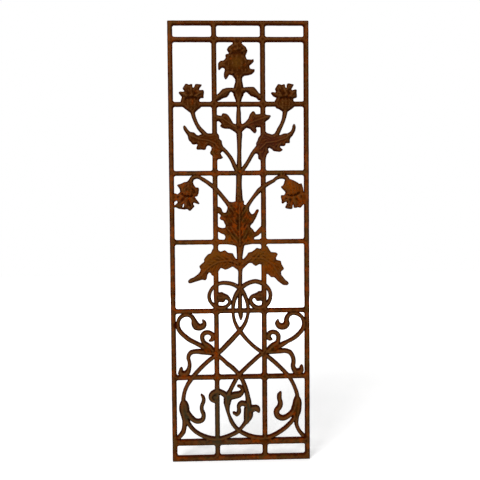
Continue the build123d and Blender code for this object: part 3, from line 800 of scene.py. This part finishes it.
def new_material(name):
    """A material without nodes yet, and its tree."""
    material = bpy.data.materials.new(name)
    material.use_nodes = True
    material.node_tree.nodes.clear()
    return material, Tree(material.node_tree)


def placed_group(tree, group, position, settings):
    """One of the groups, set down in a material with its position and settings."""
    made = tree.node("ShaderNodeGroup", node_tree=group)
    if "Position" in made.inputs:
        tree.join(position, made.inputs["Position"])
    for label, value in settings.items():
        made.inputs[label].default_value = value
    return made


def rusted_iron(name, groups, rust, bump_depth):
    """Rusted cast iron, front or back, from the shared groups, with painted shade in the hollows
    and along the edges and painted highlights on the crests and down the bars.
    """
    material, tree = new_material(name)
    position = tree.node("ShaderNodeTexCoord").outputs["Object"]
    worn = placed_group(tree, groups["rust_bloom"], position, rust).outputs["Color"]
    for place, reach, strength, color in weathered_places:
        settings = {"Place": place, "Reach": reach, "Strength": strength}
        weathered = placed_group(tree, groups["weathered_patch"], position, settings)
        worn = tree.mix(weathered.outputs["Mask"], worn, color)
    # Painted shade and painted highlights, from the crest and from_edge layers of the skin
    relief = placed_group(tree, groups["cast_relief"], position, {})
    tree.join(worn, relief.inputs["Color"])
    for label, layer in (("Crest", "crest"), ("From Edge", "from_edge")):
        source = tree.node("ShaderNodeAttribute", attribute_name=layer)
        tree.join(source.outputs["Fac"], relief.inputs[label])
    tree.join(tree.noise(position, breakup_scale), relief.inputs["Breakup"])
    skin = placed_group(tree, groups["pitted_skin"], position, {})
    bump = tree.node("ShaderNodeBump")
    bump.inputs["Strength"].default_value = bump_strength
    bump.inputs["Distance"].default_value = bump_depth
    tree.join(skin.outputs["Height"], bump.inputs["Height"])
    surface = tree.node("ShaderNodeBsdfPrincipled")
    surface.inputs["Metallic"].default_value = 0.0
    surface.inputs["Specular IOR Level"].default_value = specular_level
    tree.join(relief.outputs["Color"], surface.inputs["Base Color"])
    tree.join(skin.outputs["Roughness"], surface.inputs["Roughness"])
    tree.join(bump.outputs["Normal"], surface.inputs["Normal"])
    out = tree.node("ShaderNodeOutputMaterial")
    tree.join(surface.outputs["BSDF"], out.inputs["Surface"])
    return material


def seen_by_viewer(tree):
    """1 where the camera, a reflection or a glass sees the surface, else 0."""
    path = tree.node("ShaderNodeLightPath")
    seen = tree.math("MAXIMUM", path.outputs["Is Camera Ray"], path.outputs["Is Glossy Ray"])
    return tree.math("MAXIMUM", seen, path.outputs["Is Transmission Ray"])


def pale_floor_material():
    """A matt floor that reads white to the viewer and still takes the panel's shadow."""
    material, tree = new_material("pale_floor")
    matt = tree.node("ShaderNodeBsdfDiffuse")
    matt.inputs["Color"].default_value = floor_color
    glow = tree.node("ShaderNodeEmission")
    away = tree.node("ShaderNodeVectorMath", operation="LENGTH")
    tree.join(tree.node("ShaderNodeTexCoord").outputs["Object"], away.inputs[0])
    paler = tree.spread(away.outputs["Value"], *floor_glow_reach, *floor_glow)
    tree.join(tree.math("MULTIPLY", seen_by_viewer(tree), paler), glow.inputs["Strength"])
    glow.inputs["Color"].default_value = white
    both = tree.node("ShaderNodeAddShader")
    tree.join(matt.outputs["BSDF"], both.inputs[0])
    tree.join(glow.outputs["Emission"], both.inputs[1])
    out = tree.node("ShaderNodeOutputMaterial")
    tree.join(both.outputs["Shader"], out.inputs["Surface"])
    return material


# The room

def white_room():
    """A world that lights softly and shows white behind the panel."""
    world = bpy.data.worlds.new("white_room")
    bpy.context.scene.world = world
    world.use_nodes = True
    world.node_tree.nodes.clear()
    tree = Tree(world.node_tree)
    choice = tree.node("ShaderNodeMixShader")
    tree.join(seen_by_viewer(tree), choice.inputs["Fac"])
    for number, strength in ((1, room_light), (2, room_shown)):
        light = tree.node("ShaderNodeBackground")
        light.inputs["Color"].default_value = white
        light.inputs["Strength"].default_value = strength
        tree.join(light.outputs["Background"], choice.inputs[number])
    out = tree.node("ShaderNodeOutputWorld")
    tree.join(choice.outputs["Shader"], out.inputs["Surface"])


def soft_lamp(name, place, target, size, power):
    """A square studio lamp, pointed at a spot on the panel."""
    lamp = bpy.data.lights.new(name, "AREA")
    lamp.size = size
    lamp.energy = power
    made = bpy.data.objects.new(name, lamp)
    bpy.context.scene.collection.objects.link(made)
    made.visible_camera = False
    made.location = place
    made.rotation_euler = (Vector(target) - Vector(place)).to_track_quat("-Z", "Y").to_euler()


def set_camera():
    """The camera that sees the panel as the photograph does."""
    camera = bpy.data.cameras.new("photograph_view")
    camera.lens = camera_lens
    camera.sensor_width = camera_sensor
    camera.clip_start = camera_clip
    made = bpy.data.objects.new("photograph_view", camera)
    bpy.context.scene.collection.objects.link(made)
    made.location = camera_place
    made.rotation_euler = camera_turn
    bpy.context.scene.camera = made


def lay_floor():
    """The floor that the panel stands on."""
    half = floor_half
    mesh = bpy.data.meshes.new("floor")
    mesh.from_pydata(
        [(-half, -half, 0), (half, -half, 0), (half, half, 0), (-half, half, 0)], [], [(0, 1, 2, 3)]
    )
    mesh.materials.append(pale_floor_material())
    floor = bpy.data.objects.new("floor", mesh)
    bpy.context.scene.collection.objects.link(floor)


# The scene

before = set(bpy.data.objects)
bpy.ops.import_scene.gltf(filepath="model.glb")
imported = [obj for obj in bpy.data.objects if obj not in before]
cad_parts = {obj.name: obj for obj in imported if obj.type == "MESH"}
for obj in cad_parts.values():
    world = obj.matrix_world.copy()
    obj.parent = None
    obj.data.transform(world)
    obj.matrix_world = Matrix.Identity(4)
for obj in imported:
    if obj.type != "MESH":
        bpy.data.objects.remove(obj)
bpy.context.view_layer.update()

groups = {
    "rust_bloom": rust_bloom_group(),
    "weathered_patch": weathered_patch_group(),
    "cast_relief": cast_relief_group(),
    "pitted_skin": pitted_skin_group(),
}
front_iron = rusted_iron("rusted_front", groups, {}, front_bump)
back_iron = rusted_iron("rusted_back", groups, back_rust, back_bump)

casting = bpy.data.objects.new("rusted_casting", cast_skin(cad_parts["cast_panel"]))
bpy.context.scene.collection.objects.link(casting)
casting.data.materials.append(front_iron)
casting.data.materials.append(back_iron)
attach(casting, "root")
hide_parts("cast_panel")

lay_floor()
white_room()
for lamp_name, (place, target, size, power) in lamps.items():
    soft_lamp(lamp_name, place, target, size, power)
set_camera()
bpy.context.scene.view_settings.view_transform = "Standard"
